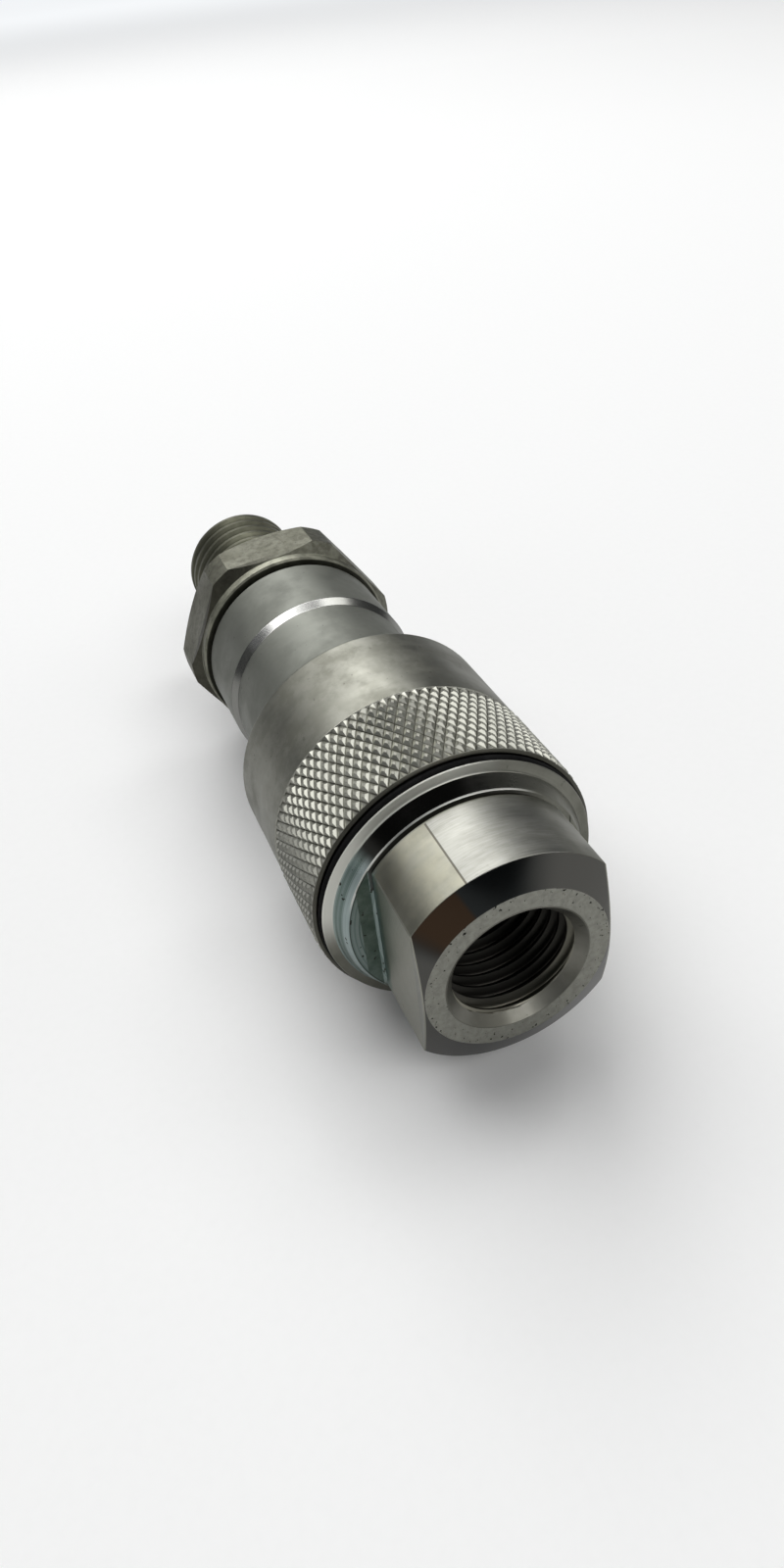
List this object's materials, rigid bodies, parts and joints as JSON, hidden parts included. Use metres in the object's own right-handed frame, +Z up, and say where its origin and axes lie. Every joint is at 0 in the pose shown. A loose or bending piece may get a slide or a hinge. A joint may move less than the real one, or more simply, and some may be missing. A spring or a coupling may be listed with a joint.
{
  "type": "quick disconnect coupler",
  "caption": "Hydraulic quick coupler: threaded port body with wrench flats, knurled locking sleeve over balls, and an inserted plug with hex tube stub; sleeve slides, plug pulls out.",
  "frame": {"origin": "centre of the threaded port's mouth, on its face", "axes": "+X along the coupler's axis from the threaded port to the tube stub, the way the plug is pulled out; +Y and -Y out of the two wrench flats; +Z up"},
  "size_m": [0.0913, 0.0304, 0.0304],
  "materials": {
    "zinc_plated_steel": "satin, turned",
    "dark_plated_steel": "dull, olive grey",
    "turned_steel": "turned",
    "spring_steel": "drawn wire",
    "bearing_steel": "polished",
    "rubber": "matte",
    "sealing_polymer": "waxy"
  },
  "bodies": {
    "socket": {"port_body": "zinc_plated_steel", "body_seal": "rubber", "buffer_ring": "rubber", "socket_body": "zinc_plated_steel", "socket_valve_guide": "turned_steel", "socket_valve_spring": "spring_steel", "plug_seal_ring": "rubber", "backup_ring": "sealing_polymer", "sleeve_retaining_ring": "spring_steel", "sleeve_spring": "spring_steel"},
    "spring_seat": {"sleeve_spring_seat": "spring_steel"},
    "sleeve": {"sleeve": "zinc_plated_steel"},
    "socket_poppet": {"socket_poppet": "turned_steel", "socket_poppet_seal": "rubber"},
    "plug_guide": {"plug_valve_guide": "turned_steel", "plug_valve_spring": "spring_steel"},
    "plug": {"plug_body": "zinc_plated_steel", "plug_adapter": "dark_plated_steel", "adapter_seal": "rubber", "guide_circlip": "spring_steel"},
    "plug_poppet": {"plug_poppet": "turned_steel", "plug_poppet_seal": "rubber"},
    "ball_1": {"ball_1": "bearing_steel"},
    "ball_2": {"ball_2": "bearing_steel"},
    "ball_3": {"ball_3": "bearing_steel"},
    "ball_4": {"ball_4": "bearing_steel"},
    "ball_5": {"ball_5": "bearing_steel"},
    "ball_6": {"ball_6": "bearing_steel"},
    "ball_7": {"ball_7": "bearing_steel"},
    "ball_8": {"ball_8": "bearing_steel"}
  },
  "joints": [
    {"name": "sleeve_slide", "type": "slide", "parent": "socket", "child": "spring_seat", "axis": [1, 0, 0], "range_m": [0, 0.0035], "stiffness_N_per_m": 1000, "springref_m": 0.012, "deforming": ["sleeve_spring"]},
    {"name": "sleeve_spin", "type": "hinge", "parent": "spring_seat", "child": "sleeve", "pos_m": [0.0254, 0, 0], "axis": [1, 0, 0], "continuous": true},
    {"name": "plug_withdraw", "type": "slide", "parent": "socket", "child": "plug_guide", "axis": [1, 0, 0], "range_m": [0, 0.032]},
    {"name": "plug_swivel", "type": "hinge", "parent": "plug_guide", "child": "plug", "pos_m": [0.05, 0, 0], "axis": [1, 0, 0], "continuous": true},
    {"name": "plug_valve_stroke", "type": "slide", "parent": "plug_guide", "child": "plug_poppet", "axis": [-1, 0, 0], "range_m": [0, 0.0025], "deforming": ["plug_valve_spring"]},
    {"name": "socket_valve_stroke", "type": "slide", "parent": "socket", "child": "socket_poppet", "axis": [1, 0, 0], "range_m": [0, 0.0025], "deforming": ["socket_valve_spring"]},
    {"name": "ball_1_lock", "type": "slide", "parent": "socket", "child": "ball_1", "axis": [0, 0, -1], "range_m": [0, 0.00125]},
    {"name": "ball_2_lock", "type": "slide", "parent": "socket", "child": "ball_2", "axis": [0, -0.7071, -0.7071], "range_m": [0, 0.00125]},
    {"name": "ball_3_lock", "type": "slide", "parent": "socket", "child": "ball_3", "axis": [0, -1, 0], "range_m": [0, 0.00125]},
    {"name": "ball_4_lock", "type": "slide", "parent": "socket", "child": "ball_4", "axis": [0, -0.7071, 0.7071], "range_m": [0, 0.00125]},
    {"name": "ball_5_lock", "type": "slide", "parent": "socket", "child": "ball_5", "axis": [0, 0, 1], "range_m": [0, 0.00125]},
    {"name": "ball_6_lock", "type": "slide", "parent": "socket", "child": "ball_6", "axis": [0, 0.7071, 0.7071], "range_m": [0, 0.00125]},
    {"name": "ball_7_lock", "type": "slide", "parent": "socket", "child": "ball_7", "axis": [0, 1, 0], "range_m": [0, 0.00125]},
    {"name": "ball_8_lock", "type": "slide", "parent": "socket", "child": "ball_8", "axis": [0, 0.7071, -0.7071], "range_m": [0, 0.00125]}
  ],
  "couplings": [
    {"joint": "plug_valve_stroke", "follows": "plug_withdraw", "ratio": 0.078125},
    {"joint": "socket_valve_stroke", "follows": "plug_withdraw", "ratio": 0.078125},
    {"joint": "ball_1_lock", "follows": "sleeve_slide", "ratio": 0.35714},
    {"joint": "ball_2_lock", "follows": "sleeve_slide", "ratio": 0.35714},
    {"joint": "ball_3_lock", "follows": "sleeve_slide", "ratio": 0.35714},
    {"joint": "ball_4_lock", "follows": "sleeve_slide", "ratio": 0.35714},
    {"joint": "ball_5_lock", "follows": "sleeve_slide", "ratio": 0.35714},
    {"joint": "ball_6_lock", "follows": "sleeve_slide", "ratio": 0.35714},
    {"joint": "ball_7_lock", "follows": "sleeve_slide", "ratio": 0.35714},
    {"joint": "ball_8_lock", "follows": "sleeve_slide", "ratio": 0.35714}
  ]
}
